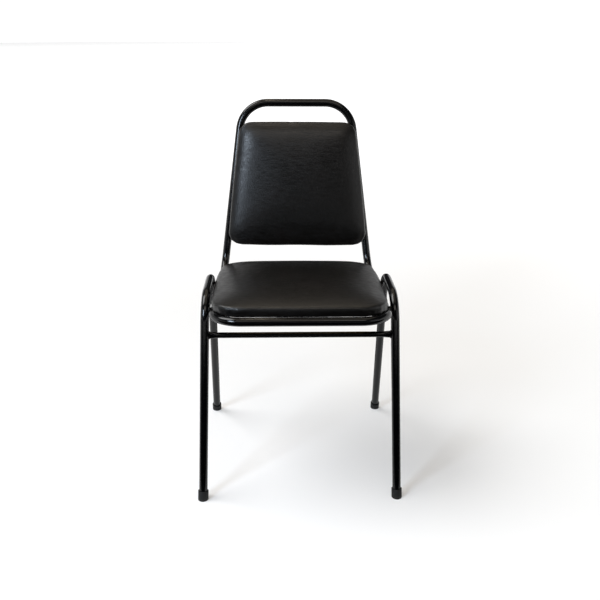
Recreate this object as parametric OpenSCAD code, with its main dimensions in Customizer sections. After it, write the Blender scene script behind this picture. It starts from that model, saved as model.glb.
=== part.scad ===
// Stacking auditorium chair: bent steel tube frame, padded vinyl seat and back.
// Millimetres. +X is the sitter's left as seen from the front, +Y runs to the back, +Z is up.
// The origin lies on the floor under the middle of the chair's own box.

/* [Frame tube] */
// Outside diameter of the frame tube
tube_d = 19.05; // [16:0.05:22.25]
// Wall of the frame tube
tube_wall = 1.2; // [0.8:0.1:2]
// How far the tube's faces draw in round each bend
bend_draw = 0.05; // [0.02:0.01:0.15]

/* [Leg frames] */
// Spacing of the leg centrelines across the chair, at the floor
foot_span = 442; // [420:1:480]
// Spacing of front and rear leg centrelines, at the floor
foot_depth = 423; // [400:1:450]
// Sideways splay of each leg frame, in degrees
leg_splay = 1.72; // [0.5:0.1:3]
// Backward lean of the front legs, in degrees
front_lean = 10.6; // [8:0.1:12]
// Forward lean of the rear legs, in degrees
rear_lean = 20.45; // [18:0.1:22]
// Height of the level run of each arch, to the tube's centreline
arch_z = 455; // [450:1:475]
// Radius of the bend between front leg and level run
arch_front_r = 60; // [45:1:65]
// Radius of the bend between level run and rear leg
arch_rear_r = 60; // [45:1:70]

/* [Seat and back hoop] */
// How far the front rail lies ahead of the front feet
nose_reach = 2; // [0:1:20]
// Height of the front rail's centreline
front_rail_z = 435.2; // [428:0.1:440]
// Fall of the seat rails towards the back, in degrees
seat_slope = 4.4; // [2:0.1:6]
// Level distance from the front rail to the corner of seat and back
rail_reach = 430; // [420:1:445]
// Lean of the back posts, in degrees
recline = 10; // [6:0.5:14]
// Height of the top rail's centreline
top_rail_z = 825.5; // [800:0.5:860]
// Spacing of the posts where they would meet the top rail
top_span = 271; // [250:1:300]
// Radius of the bends at the front corners of the seat
front_corner_r = 65; // [50:1:75]
// Radius of the bends between seat rails and posts
back_bend_r = 60; // [45:1:70]
// Radius of the bends at the top corners
top_corner_r = 72; // [55:1:80]

/* [Front crossbar] */
// Diameter of the crossbar between the front legs
bar_d = 12.7; // [10:0.1:16]
// Wall of the crossbar
bar_wall = 1.2; // [0.8:0.1:1.5]
// Height of the crossbar's centreline
bar_z = 375; // [340:1:385]
// Thickness of the crossbar's flattened ends
bar_end_t = 6; // [5:0.1:8]
// Length over which each end goes from round to flat
bar_flare = 22; // [15:1:30]

/* [Foot caps] */
// Thickness of the cap's wall round the tube
cap_wall = 2.3; // [1.8:0.1:3]
// Height of a foot cap along its leg
cap_h = 21; // [18:0.5:26]
// Height of the tube's end above the floor
tube_end_z = 7; // [6:0.5:9]

/* [Seat pad] */
// Bow of the seat pad's sides beyond a straight line
seat_bow = 4.5; // [2:0.5:8]
// How much wider the seat pad is at the back than at the front
seat_flare = 3; // [0:0.5:6]
// Radius of the seat pad's front corners
seat_front_r = 62; // [45:1:68]
// Radius of the seat pad's rear corners
seat_rear_r = 60; // [40:1:66]
// Height of the seat pad at its shoulder
seat_edge_h = 24; // [20:0.5:28]
// Rise of the seat pad's crown above its shoulder
seat_crown = 13; // [6:1:20]
// Thickness of the seat board
seat_board_t = 11; // [9:0.5:13]

/* [Back pad] */
// Distance from the seat and back corner to the back pad, along the posts
back_foot = 74; // [60:1:100]
// Gap between the back pad and the top rail, along the posts
back_top_gap = 40; // [28:1:50]
// How much more of each post the back pad covers at its top than at its foot
back_spread = 9.5; // [0:0.5:12]
// Height of the back pad's edge, from the posts to its shoulder
back_edge_h = 29; // [25:0.5:34]
// Rise of the back pad's crown above its shoulder
back_crown = 9; // [4:1:14]
// Radius of the back pad's corners
back_corner_r = 30; // [24:1:40]
// Thickness of the back board
back_board_t = 9; // [7:0.5:11]

/* [Upholstery] */
// Thickness of the vinyl
cover_t = 1; // [0.8:0.1:1.5]
// Width of the vinyl's hem under the seat board
hem_w = 20; // [14:1:24]

/* [Tabs and fasteners] */
// Thickness of the welded tabs
tab_t = 3; // [2:0.5:4]
// Width of the welded tabs
tab_w = 26; // [22:1:32]
// Distance from a tube's centreline to the screw in its tab
tab_reach = 34; // [30:1:40]
// Diameter of the screws
screw_d = 6.35; // [5:0.05:7]

/* [Hidden] */

// Resolution of round forms
tube_fn = 72;
small_fn = 36;
end_fn = 32;
// Cuts run past the solid by this much, and thin slices are this thick
over = 1;
slice = 0.1;
// Chamfer round the top of a foot cap, and the turn of the cap about its leg
cap_edge = 1.2;
cap_turn = 90;
// Straight runs lap into the bends by this much
bend_lap = 0.6;
// Clearances: between welded pieces, round a fastener, in a thread, in a foot cap, between layers of
// a pad, and from a post to the back pad
weld_gap = 0.1;
bore_gap = 0.4;
thread_gap = 0.1;
cap_gap = 0.1;
layer_gap = 0.2;
post_gap = 0.2;
// Vent hole in the closed hoop, and its place ahead of the seat and back corner
vent_d = 4;
vent_back = 80;

tube_r = tube_d / 2;
foot_half = foot_span / 2;

// Leg geometry: centreline points of the leg frame on side sg at height z
function leg_x(z) = foot_half - z * tan(leg_splay);
function front_leg(sg, z) = [sg * leg_x(z), z * tan(front_lean), z];
function rear_leg(sg, z) = [sg * leg_x(z), foot_depth - z * tan(rear_lean), z];

// Seat rails: their line, and where they pass the legs
rail_y0 = -nose_reach;
function rail_z(y) = front_rail_z - (y - rail_y0) * tan(seat_slope);
leg_cross_z = (front_rail_z + rail_y0 * tan(seat_slope)) / (1 + tan(front_lean) * tan(seat_slope));
// The rails lie against the inner sides of the legs
hoop_half = leg_x(leg_cross_z) - tube_d / cos(leg_splay) - weld_gap;
corner_y = rail_y0 + rail_reach;
corner_z = rail_z(corner_y);
post_len = (top_rail_z - corner_z) / cos(recline);
top_y = corner_y + (top_rail_z - corner_z) * tan(recline);
post_tilt = atan((hoop_half - top_span / 2) / post_len);

// The chair's own box along Y, which sets the origin
cap_r = tube_r + cap_wall;
box_front = min(rail_y0 - tube_r, -cap_r / cos(front_lean));
box_back = top_y + tube_r;
mid_y = (box_front + box_back) / 2;

// Seat pad: its frame starts at the front rail's centre and follows the rails
seat_setback = 4;
seat_base = tube_r + tab_t;
seat_rear_gap = 6;
seat_len = rail_reach / cos(seat_slope) - tube_r - seat_setback - seat_rear_gap;
pad_side_gap = 1.6;
seat_bulge = 2.5;
seat_wide_h = cover_t + seat_board_t + layer_gap;
seat_shoulder_r = 18;
seat_mid_z = rail_z(rail_y0 + seat_len / 2) + seat_base + seat_wide_h;
seat_mid_half = leg_x(seat_mid_z + tube_r) - tube_r - pad_side_gap - seat_bulge;
seat_front_half = seat_mid_half - seat_bow - seat_flare / 4;
seat_rear_half = seat_front_half + seat_flare / 2;
seat_front_bow = 3;
seat_rear_bow = 5;

// Back pad: its frame starts at the seat and back corner and follows the posts
back_base = tube_r + post_gap;
back_len = post_len - tube_r - back_top_gap - back_foot;
back_inset = 3.5;
back_bulge = 2;
back_wide_h = 12;
back_shoulder_r = 21;
back_low_half = hoop_half - back_foot * tan(post_tilt) - back_inset - back_bulge;
back_top_half = back_low_half - back_len * tan(post_tilt) + back_spread;
back_side_bow = 1.5;
back_low_bow = 0.5;
back_top_bow = 1;

// Crown and shoulder shares, from the rim of a pad's top to its middle
crown_shares = [0.28, 0.55, 0.8];
shoulder_turns = [84, 58, 30];
corner_steps = 6;
side_steps = 4;

// Tabs sit on the straight tube beside the bends
tab_clear = 8;
rear_turn = 90 - recline + seat_slope;
rear_tangent = back_bend_r * tan(rear_turn / 2);
seat_tab_front = front_corner_r + tab_clear + tab_w / 2;
seat_tab_rear = rail_reach / cos(seat_slope) - rear_tangent - tab_clear - tab_w / 2;
back_tab_inset = 62;
back_tab_low = back_foot + back_tab_inset;
back_tab_top = back_foot + back_len - back_tab_inset;
tab_hole_d = screw_d + bore_gap;

// Tee nuts and screw heads
nut_wall = 0.8;
nut_barrel_d = screw_d + 2 * nut_wall;
nut_flange_d = 19;
nut_flange_t = 1.6;
nut_short = 2;
head_d = 12.7;
head_h = 3.5;
head_dome_r = 11.4;
recess_l = 6.4;
recess_w = 1.3;
recess_h = 1.8;

function unit(v) = v / norm(v);
function flat_normal(a, b) = unit([b.y - a.y, a.x - b.x]);

// One layer of hollow tube profile
module ring_2d(d, wall, fn) {
    difference() {
        circle(d = d, $fn = fn);
        circle(d = d - 2 * wall, $fn = fn);
    }
}

// Bends of a path through corner points: turn, tangent length, plane and roll between planes
function way(p, i) = unit(p[i + 1] - p[i]);
function turn_at(p, i) = acos(way(p, i - 1) * way(p, i));
function tangent_at(p, radii, i) = i == 0 || i == len(p) - 1 ? 0 : radii[i] * tan(turn_at(p, i) / 2);
function plane_at(p, i) = unit(cross(way(p, i - 1), way(p, i)));
function roll_after(p, i) =
    atan2(cross(plane_at(p, i), plane_at(p, i + 1)) * way(p, i), plane_at(p, i) * plane_at(p, i + 1));

// From corner i on: a straight run along +Z, a bend towards +X, and then the next run.
// The straight runs lap into the bends, whose faces are drawn in.
module tube_run(p, radii, i, d, wall, fn) {
    run = norm(p[i + 1] - p[i]) - tangent_at(p, radii, i) - tangent_at(p, radii, i + 1);
    lap_in = i > 0 ? bend_lap : 0;
    lap_out = i < len(p) - 2 ? bend_lap : 0;
    translate([0, 0, -lap_in]) linear_extrude(lap_in + run + lap_out) ring_2d(d, wall, fn);
    if (i < len(p) - 2) {
        r = radii[i + 1];
        turn = turn_at(p, i + 1);
        translate([0, 0, run]) {
            multmatrix([[-1, 0, 0, r], [0, 0, 1, 0], [0, 1, 0, 0], [0, 0, 0, 1]])
                rotate_extrude(angle = turn, $fn = 2 * fn)
                    translate([r, 0]) ring_2d(d - 2 * bend_draw, wall - 2 * bend_draw, fn);
            translate([r, 0, 0]) rotate([0, turn, 0]) translate([-r, 0, 0])
                rotate(i < len(p) - 3 ? roll_after(p, i + 1) : 0)
                    tube_run(p, radii, i + 1, d, wall, fn);
        }
    }
}

// A hollow tube along a path, with one bend radius for each corner between its ends
module tube_path(p, radii, d, wall, fn) {
    z = way(p, 0);
    y = plane_at(p, 1);
    x = cross(y, z);
    multmatrix([[x.x, y.x, z.x, p[0].x], [x.y, y.y, z.y, p[0].y], [x.z, y.z, z.z, p[0].z], [0, 0, 0, 1]])
        tube_run(p, radii, 0, d, wall, fn);
}

// Frames of reference: the chair, the seat pad and the back pad
module in_chair() {
    translate([0, -mid_y, 0]) children();
}

module in_seat() {
    in_chair() translate([0, rail_y0, front_rail_z]) rotate([-seat_slope, 0, 0]) children();
}

// In the back's frame X runs across, Y up the posts and Z out of the pad's front
module in_back() {
    in_chair() translate([0, corner_y, corner_z]) rotate([90 - recline, 0, 0]) children();
}

// Frame: one half of the hoop runs from the middle of the front rail to the middle of the top rail
module half_hoop() {
    corners = [[-over, rail_y0, front_rail_z], [hoop_half, rail_y0, front_rail_z],
        [hoop_half, corner_y, corner_z], [top_span / 2, top_y, top_rail_z], [-over, top_y, top_rail_z]];
    radii = [0, front_corner_r, back_bend_r, top_corner_r, 0];
    reach = 2 * (top_rail_z + foot_depth);
    in_chair() intersection() {
        tube_path(corners, radii, tube_d, tube_wall, tube_fn);
        translate([0, -reach / 2, 0]) cube(reach);
    }
}

module seat_back_hoop() {
    color("#15161a") difference() {
        union() {
            half_hoop();
            mirror([1, 0, 0]) half_hoop();
        }
        for (sg = [-1, 1])
            in_seat() translate([sg * hoop_half, rail_reach / cos(seat_slope) - vent_back, -tube_d])
                cylinder(h = tube_d, d = vent_d, $fn = small_fn);
    }
}

module leg_frame(sg) {
    points = [front_leg(sg, tube_end_z), front_leg(sg, arch_z), rear_leg(sg, arch_z),
        rear_leg(sg, tube_end_z)];
    radii = [0, arch_front_r, arch_rear_r, 0];
    color("#15161a") in_chair() tube_path(points, radii, tube_d, tube_wall, tube_fn);
}

// The crossbar's end is pressed flat, keeps its girth, and stands upright against the leg
module bar_end(d, end_t, end_h, length) {
    hull() {
        cylinder(h = slice, d = d, $fn = end_fn);
        translate([0, 0, length - slice]) linear_extrude(slice)
            for (sg = [-1, 1]) translate([sg * (end_h - end_t) / 2, 0]) circle(d = end_t, $fn = end_fn);
    }
}

module front_crossbar() {
    at = front_leg(1, bar_z);
    half = at.x - tube_r / cos(leg_splay) - weld_gap - tube_r * sin(leg_splay);
    flat_h = bar_end_t + (bar_d - bar_end_t) * PI / 2;
    straight = half - bar_flare;
    color("#15161a") in_chair() translate([0, at.y, at.z]) rotate([0, 90, 0]) {
        translate([0, 0, -straight]) linear_extrude(2 * straight) ring_2d(bar_d, bar_wall, tube_fn);
        for (side = [0, 1]) mirror([0, 0, side]) translate([0, 0, straight]) difference() {
            bar_end(bar_d, bar_end_t, flat_h, bar_flare);
            translate([0, 0, -slice]) bar_end(bar_d - 2 * bar_wall, bar_end_t - 2 * bar_wall,
                flat_h - 2 * bar_wall, bar_flare + 2 * slice);
        }
    }
}

// A foot cap is turned about its leg's axis and cut level with the floor
module foot_cap(foot, above) {
    run = above - foot;
    reach = norm(run);
    color("#1b1b1c") in_chair() difference() {
        translate(foot) rotate([0, acos(run.z / reach), atan2(run.y, run.x)]) rotate(cap_turn)
            difference() {
                translate([0, 0, -cap_r]) cylinder(h = cap_r + cap_h, r = cap_r, $fn = tube_fn);
                translate([0, 0, tube_end_z * reach / run.z])
                    cylinder(h = cap_h, r = tube_r + cap_gap, $fn = tube_fn);
                rotate_extrude($fn = tube_fn) translate([cap_r, cap_h - cap_edge])
                    polygon([[over, -over], [over, cap_edge + over], [-cap_edge - over, cap_edge + over]]);
            }
        translate([foot.x - 2 * cap_r, foot.y - 2 * cap_r, -4 * cap_r]) cube(4 * cap_r);
    }
}

// A tab points towards the chair's middle and has a round end with the screw's hole in it
module tab_2d(root) {
    difference() {
        union() {
            translate([-tab_reach, -tab_w / 2]) square([tab_reach - root, tab_w]);
            translate([-tab_reach, 0]) circle(d = tab_w, $fn = small_fn);
        }
        translate([-tab_reach, 0]) circle(d = tab_hole_d, $fn = small_fn);
    }
}

// A seat tab lies on top of its rail
module seat_tab(sg, along) {
    color("#15161a") in_seat() mirror([sg < 0 ? 1 : 0, 0, 0])
        translate([hoop_half, along, tube_r]) linear_extrude(tab_t) tab_2d(0);
}

// A back tab is welded to the inner side of its post, just proud of the post's front
module back_tab(sg, along) {
    chord = sqrt(pow(tube_r, 2) - pow(back_base - tab_t, 2)) + weld_gap;
    color("#15161a") in_back() mirror([sg < 0 ? 1 : 0, 0, 0])
        translate([hoop_half - along * tan(post_tilt), along, back_base - tab_t])
            rotate(post_tilt) linear_extrude(tab_t) tab_2d(chord);
}

// Pad outline: a bowed trapezoid with round corners, anticlockwise from the low corner at +X
function arc_points(c, r, from, turn) =
    [for (k = [0 : corner_steps]) let (a = from + turn * k / corner_steps) c + r * [cos(a), sin(a)]];
function bowed_run(a, b, bow, out) =
    [for (k = [1 : side_steps - 1]) let (t = k / side_steps)
        a + (b - a) * t + out * bow * 4 * t * (1 - t)];
function pad_outline(low_half, high_half, length, low_r, high_r, side_bow, low_bow, high_bow) =
    let (
        lean = atan((low_half - high_half) / length),
        low_c = [low_half - low_r, low_r],
        high_c = [high_half - high_r, length - high_r],
        right = concat(
            arc_points(low_c, low_r, -90, 90 + lean),
            bowed_run(low_c + low_r * [cos(lean), sin(lean)], high_c + high_r * [cos(lean), sin(lean)],
                side_bow, [cos(lean), sin(lean)]),
            arc_points(high_c, high_r, lean, 90 - lean)),
        top = bowed_run([high_c.x, length], [-high_c.x, length], high_bow, [0, 1]),
        left = [for (k = [len(right) - 1 : -1 : 0]) [-right[k].x, right[k].y]],
        low = bowed_run([-low_c.x, 0], [low_c.x, 0], low_bow, [0, -1]))
    concat(right, top, left, low);
function outline_normals(p) =
    let (n = len(p)) [for (i = [0 : n - 1]) flat_normal(p[(i + n - 1) % n], p[(i + 1) % n])];

// One ring of a pad: the outline set out by some distance, drawn to its middle by a share, at height z
function pad_ring(p, n, mid, share, out, z) =
    [for (i = [0 : len(p) - 1]) let (q = mid + (p[i] + n[i] * out - mid) * share) [q.x, q.y, z]];

// Rows of a pad's outer face from the crown to the widest line, set in by d: [share, out, height]
function top_rows(bulge, wide_h, edge_h, shoulder, crown, d) = concat(
    [for (s = crown_shares) [s, bulge - shoulder, edge_h + crown * (1 - s * s) - d]],
    [for (a = shoulder_turns)
        [1, bulge - shoulder + (shoulder - d) * cos(a), wide_h + (edge_h - wide_h - d) * sin(a)]],
    [[1, bulge - d, wide_h]]);
function rings_of(p, mid, rows) =
    let (n = outline_normals(p)) [for (r = rows) pad_ring(p, n, mid, r[0], r[1], r[2])];

function sum_of(ring, k, i = 0) = i == len(ring) ? 0 : ring[i][k] + sum_of(ring, k, i + 1);
function ring_middle(ring) = [for (k = [0 : 2]) sum_of(ring, k) / len(ring)];

// A closed solid through rings that are listed from its top outwards and down
module ring_solid(rings) {
    m = len(rings);
    n = len(rings[0]);
    points = concat([for (ring = rings) each ring], [ring_middle(rings[0]), ring_middle(rings[m - 1])]);
    walls = [for (k = [0 : m - 2], i = [0 : n - 1]) let (j = (i + 1) % n, a = k * n, b = a + n)
        each [[a + i, a + j, b + j], [a + i, b + j, b + i]]];
    first = [for (i = [0 : n - 1]) [m * n, (i + 1) % n, i]];
    last = [for (i = [0 : n - 1]) [m * n + 1, (m - 1) * n + i, (m - 1) * n + (i + 1) % n]];
    polyhedron(points = points, faces = concat(walls, first, last));
}

seat_outline = pad_outline(seat_front_half, seat_rear_half, seat_len, seat_front_r, seat_rear_r,
    seat_bow, seat_front_bow, seat_rear_bow);
seat_mid = [0, seat_len / 2];
back_outline = pad_outline(back_low_half, back_top_half, back_len, back_corner_r, back_corner_r,
    back_side_bow, back_low_bow, back_top_bow);
back_mid = [0, back_len / 2];

module in_seat_pad() {
    in_seat() translate([0, seat_setback, seat_base]) children();
}

module in_back_pad() {
    in_back() translate([0, back_foot, back_base]) children();
}

seat_spots = [for (sg = [-1, 1], along = [seat_tab_front, seat_tab_rear])
    [sg * (hoop_half - tab_reach), along - seat_setback]];
back_spots = [for (sg = [-1, 1], along = [back_tab_low, back_tab_top])
    [sg * (hoop_half - along * tan(post_tilt) - tab_reach * cos(post_tilt)),
        along - back_foot - tab_reach * sin(post_tilt)]];

// A board inside a pad, drilled for its tee nuts
module pad_board(outline, thick, spots) {
    inset = cover_t + layer_gap;
    n = outline_normals(outline);
    linear_extrude(thick) difference() {
        polygon([for (i = [0 : len(outline) - 1]) outline[i] - n[i] * inset]);
        for (s = spots) translate(s) circle(d = nut_barrel_d + bore_gap, $fn = small_fn);
    }
}

module nut_seats(thick, spots) {
    for (s = spots) translate([s.x, s.y, thick - nut_flange_t - layer_gap])
        cylinder(h = nut_flange_t + layer_gap + over, d = nut_flange_d + bore_gap, $fn = small_fn);
}

// Seat pad
module seat_board() {
    color("#b08a5c") in_seat_pad() translate([0, 0, cover_t]) difference() {
        pad_board(seat_outline, seat_board_t, seat_spots);
        nut_seats(seat_board_t, seat_spots);
    }
}

module seat_foam() {
    rows = top_rows(seat_bulge, seat_wide_h, seat_edge_h, seat_shoulder_r, seat_crown, cover_t + layer_gap);
    color("#d9cfa8") in_seat_pad() ring_solid(rings_of(seat_outline, seat_mid, rows));
}

module seat_cover() {
    outer = top_rows(seat_bulge, seat_wide_h, seat_edge_h, seat_shoulder_r, seat_crown, 0);
    inner = top_rows(seat_bulge, seat_wide_h, seat_edge_h, seat_shoulder_r, seat_crown, cover_t);
    rows = concat(outer,
        [[1, 0, cover_t], [1, -cover_t, 0], [1, -hem_w, 0], [1, -hem_w, cover_t], [1, -cover_t, cover_t]],
        [for (k = [len(inner) - 1 : -1 : 0]) inner[k]]);
    color("#2e2a27") in_seat_pad() ring_solid(rings_of(seat_outline, seat_mid, rows));
}

// Back pad
module back_board() {
    color("#b08a5c") in_back_pad() translate([0, 0, cover_t]) difference() {
        pad_board(back_outline, back_board_t, back_spots);
        nut_seats(back_board_t, back_spots);
    }
}

module back_foam() {
    inset = cover_t + layer_gap;
    base = cover_t + back_board_t + layer_gap;
    rows = concat(top_rows(back_bulge, back_wide_h, back_edge_h, back_shoulder_r, back_crown, inset),
        [[1, -inset, base]]);
    color("#d9cfa8") in_back_pad() ring_solid(rings_of(back_outline, back_mid, rows));
}

// The back's cover is a closed sleeve, pierced behind by the four screws
module back_cover() {
    outer = concat(top_rows(back_bulge, back_wide_h, back_edge_h, back_shoulder_r, back_crown, 0),
        [[1, 0, cover_t], [1, -cover_t, 0]]);
    inner = concat(top_rows(back_bulge, back_wide_h, back_edge_h, back_shoulder_r, back_crown, cover_t),
        [[1, -cover_t, cover_t]]);
    color("#1d1c1d") in_back_pad() difference() {
        ring_solid(rings_of(back_outline, back_mid, outer));
        ring_solid(rings_of(back_outline, back_mid, inner));
        for (s = back_spots) translate([s.x, s.y, -over])
            cylinder(h = cover_t + 2 * over, d = tab_hole_d, $fn = small_fn);
    }
}

// Fasteners: z is zero at the outer face of the tab
module tee_nut(thick) {
    board_at = tab_t + cover_t;
    flange_at = board_at + thick - nut_flange_t - layer_gap;
    color("#a8abad") difference() {
        union() {
            translate([0, 0, flange_at]) cylinder(h = nut_flange_t, d = nut_flange_d, $fn = small_fn);
            translate([0, 0, board_at + nut_short])
                cylinder(h = flange_at + nut_flange_t - board_at - nut_short, d = nut_barrel_d,
                    $fn = small_fn);
        }
        cylinder(h = board_at + thick + over, d = screw_d + thread_gap, $fn = small_fn);
    }
}

module screw(length) {
    color("#8d9094") difference() {
        union() {
            cylinder(h = length, d = screw_d, $fn = small_fn);
            rotate_extrude($fn = small_fn) intersection() {
                translate([0, head_dome_r - head_h]) circle(r = head_dome_r, $fn = 2 * tube_fn);
                translate([0, -head_h]) square([head_d / 2, head_h]);
            }
        }
        for (turn = [0, 90]) rotate(turn) translate([-recess_l / 2, -recess_w / 2, -head_h - over])
            cube([recess_l, recess_w, recess_h + over]);
    }
}

module at_seat_screws() {
    in_seat_pad() for (s = seat_spots) translate([s.x, s.y, -tab_t]) children();
}

module at_back_screws() {
    in_back_pad() for (s = back_spots) translate([s.x, s.y, -tab_t]) children();
}

module seat_tee_nuts() {
    at_seat_screws() tee_nut(seat_board_t);
}

module back_tee_nuts() {
    at_back_screws() tee_nut(back_board_t);
}

module seat_screws() {
    at_seat_screws() screw(tab_t + cover_t + seat_board_t - layer_gap);
}

module back_screws() {
    at_back_screws() screw(tab_t + cover_t + back_board_t - layer_gap);
}

seat_back_hoop();
leg_frame(1);  // left_leg_frame
leg_frame(-1);  // right_leg_frame
front_crossbar();
foot_cap(front_leg(1, 0), front_leg(1, arch_z));  // front_left_foot_cap
foot_cap(front_leg(-1, 0), front_leg(-1, arch_z));  // front_right_foot_cap
foot_cap(rear_leg(1, 0), rear_leg(1, arch_z));  // rear_left_foot_cap
foot_cap(rear_leg(-1, 0), rear_leg(-1, arch_z));  // rear_right_foot_cap
seat_tab(1, seat_tab_front);  // seat_tab_front_left
seat_tab(-1, seat_tab_front);  // seat_tab_front_right
seat_tab(1, seat_tab_rear);  // seat_tab_rear_left
seat_tab(-1, seat_tab_rear);  // seat_tab_rear_right
back_tab(1, back_tab_low);  // back_tab_lower_left
back_tab(-1, back_tab_low);  // back_tab_lower_right
back_tab(1, back_tab_top);  // back_tab_upper_left
back_tab(-1, back_tab_top);  // back_tab_upper_right
seat_board();
seat_foam();
seat_cover();
back_board();
back_foam();
back_cover();
seat_tee_nuts();
back_tee_nuts();
seat_screws();
back_screws();
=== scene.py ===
# %% [markdown]
# A stacking chair for halls, in Blender.
# The real chair is one bent steel tube that carries the seat and the back, between two bent leg
# frames. Both pads are foam on plywood under dark vinyl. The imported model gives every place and
# size, so this lesson only makes the pieces that need a finer surface, and their finishes.

import math

import bpy
import numpy as np
from mathutils import Matrix, Vector
from mathutils.bvhtree import BVHTree
from mathutils.geometry import convex_hull_2d


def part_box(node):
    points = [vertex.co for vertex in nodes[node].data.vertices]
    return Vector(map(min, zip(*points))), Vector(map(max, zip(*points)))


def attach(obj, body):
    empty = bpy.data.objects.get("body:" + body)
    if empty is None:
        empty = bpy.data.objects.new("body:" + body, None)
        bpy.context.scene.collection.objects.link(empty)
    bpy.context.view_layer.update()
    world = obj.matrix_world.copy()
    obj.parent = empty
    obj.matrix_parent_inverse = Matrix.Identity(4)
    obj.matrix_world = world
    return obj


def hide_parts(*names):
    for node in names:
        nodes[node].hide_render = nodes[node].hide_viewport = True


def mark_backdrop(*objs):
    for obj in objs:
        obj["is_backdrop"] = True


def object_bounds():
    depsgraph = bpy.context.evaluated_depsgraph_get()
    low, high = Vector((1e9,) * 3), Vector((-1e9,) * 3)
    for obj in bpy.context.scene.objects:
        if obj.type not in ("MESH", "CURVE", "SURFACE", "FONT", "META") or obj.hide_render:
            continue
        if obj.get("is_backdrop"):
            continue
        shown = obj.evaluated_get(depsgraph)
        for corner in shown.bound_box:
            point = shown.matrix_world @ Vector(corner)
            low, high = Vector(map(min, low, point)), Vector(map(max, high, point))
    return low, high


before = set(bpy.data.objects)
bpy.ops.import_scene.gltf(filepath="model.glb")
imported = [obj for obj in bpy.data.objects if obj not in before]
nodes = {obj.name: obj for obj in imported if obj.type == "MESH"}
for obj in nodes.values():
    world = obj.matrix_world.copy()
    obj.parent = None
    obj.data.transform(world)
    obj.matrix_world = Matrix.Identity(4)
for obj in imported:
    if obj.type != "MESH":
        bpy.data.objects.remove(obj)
cad_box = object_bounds()
print("the frame has", len(nodes), "nodes, in a box from", cad_box[0], "to", cad_box[1])

# %% [markdown]
# Selecting comes before every operator. An operator acts on all that is selected, and the
# imported nodes come in selected, so each step starts from nothing selected and picks its piece.

# %% Selecting
MM = 0.001


def pick(piece):
    bpy.ops.object.select_all(action="DESELECT")
    piece.select_set(True)
    bpy.context.view_layer.objects.active = piece
    return piece


def edit(piece, select="SELECT"):
    pick(piece)
    bpy.ops.object.mode_set(mode="EDIT")
    bpy.ops.mesh.select_all(action=select)


def leave_edit():
    bpy.ops.object.mode_set(mode="OBJECT")


def settle(name):
    """Names the piece just made and puts its place into its mesh."""
    piece = bpy.context.object
    piece.name = name
    bpy.ops.object.transform_apply(location=True, rotation=True, scale=True)
    return piece


def modify(piece, kind, **settings):
    """Adds a modifier, sets it and applies it."""
    pick(piece)
    modifier = piece.modifiers.new(kind.title(), kind)
    for key, value in settings.items():
        setattr(modifier, key, value)
    bpy.ops.object.modifier_apply(modifier=modifier.name)


def join(pieces, name):
    """Joins pieces into the first of them and gives it this name."""
    bpy.ops.object.select_all(action="DESELECT")
    for piece in pieces:
        piece.select_set(True)
    bpy.context.view_layer.objects.active = pieces[0]
    bpy.ops.object.join()
    return settle(name)


# %% [markdown]
# The camera stands a little left of the chair's middle and looks down on the seat from standing
# height. Its place and turn were worked out from the feet, legs and pads, which fixes the
# picture's perspective better than turning by eye.

# %% Camera
PICTURE_PX = 600
FOCAL_PX = 758.5
SENSOR_MM = 36
PITCH, YAW, ROLL = (math.radians(a) for a in (20.63, 1.68, 0.30))
CAMERA_AT = Vector((-0.046, -1.7131, 1.034))

ahead = Vector((math.sin(YAW) * math.cos(PITCH), math.cos(YAW) * math.cos(PITCH), -math.sin(PITCH)))
right = Vector((math.cos(YAW), -math.sin(YAW), 0))
up = right.cross(ahead)
right_rolled = math.cos(ROLL) * right + math.sin(ROLL) * up
up_rolled = -math.sin(ROLL) * right + math.cos(ROLL) * up

bpy.ops.object.camera_add()
camera = bpy.context.object
camera.name = "camera"
camera.data.sensor_fit = "HORIZONTAL"
camera.data.sensor_width = SENSOR_MM
camera.data.lens = FOCAL_PX / PICTURE_PX * SENSOR_MM
camera.data.clip_end = 200
camera_turn = Matrix((right_rolled, up_rolled, -ahead)).transposed().to_4x4()
camera.matrix_world = Matrix.Translation(CAMERA_AT) @ camera_turn
bpy.context.scene.camera = camera
print("camera lens", round(camera.data.lens, 2), "mm")

# %% [markdown]
# One function turns a hex colour into the linear values that Blender wants, and one adds a node
# with its settings and links. A link is given as the socket that feeds the input. The others make
# what the finishes share: a cloudy pattern whose cells are given in millimetres, a ramp between
# two colours, a product, a bump, and the shader that closes a material.

# %% Node helpers


def colour(code):
    """An sRGB hex colour as linear red, green, blue and alpha."""
    channels = [int(code[i:i + 2], 16) / 255 for i in (1, 3, 5)]
    linear = [c / 12.92 if c <= 0.04045 else ((c + 0.055) / 1.055) ** 2.4 for c in channels]
    return (*linear, 1.0)


def add(tree, kind, inputs=None, **settings):
    node = tree.nodes.new(kind)
    for key, value in settings.items():
        setattr(node, key, value)
    for key, value in (inputs or {}).items():
        if isinstance(value, bpy.types.NodeSocket):
            tree.links.new(value, node.inputs[key])
        else:
            node.inputs[key].default_value = value
    return node


def new_material(name):
    material = bpy.data.materials.new(name)
    material.use_nodes = True
    material.node_tree.nodes.clear()
    return material, material.node_tree


def grain(size_mm):
    """The scale that makes a pattern's cells this many millimetres across on Object coordinates."""
    return 1 / (size_mm * MM)


def noise(tree, place, size_mm, detail, **inputs):
    """A cloudy pattern with cells of this size, as the socket that gives its strength."""
    cells = {"Vector": place, "Scale": grain(size_mm), "Detail": detail, **inputs}
    return add(tree, "ShaderNodeTexNoise", cells).outputs["Fac"]


def two_colours(tree, reading, low, first, high, second):
    """The first colour where the reading is low, the second where it is high."""
    ramp = add(tree, "ShaderNodeValToRGB", {"Fac": reading})
    ends = ramp.color_ramp.elements
    ends[0].position, ends[0].color = low, first
    ends[1].position, ends[1].color = high, second
    return ramp.outputs["Color"]


def product(tree, one, other):
    return add(tree, "ShaderNodeMath", {0: one, 1: other}, operation="MULTIPLY").outputs["Value"]


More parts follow.
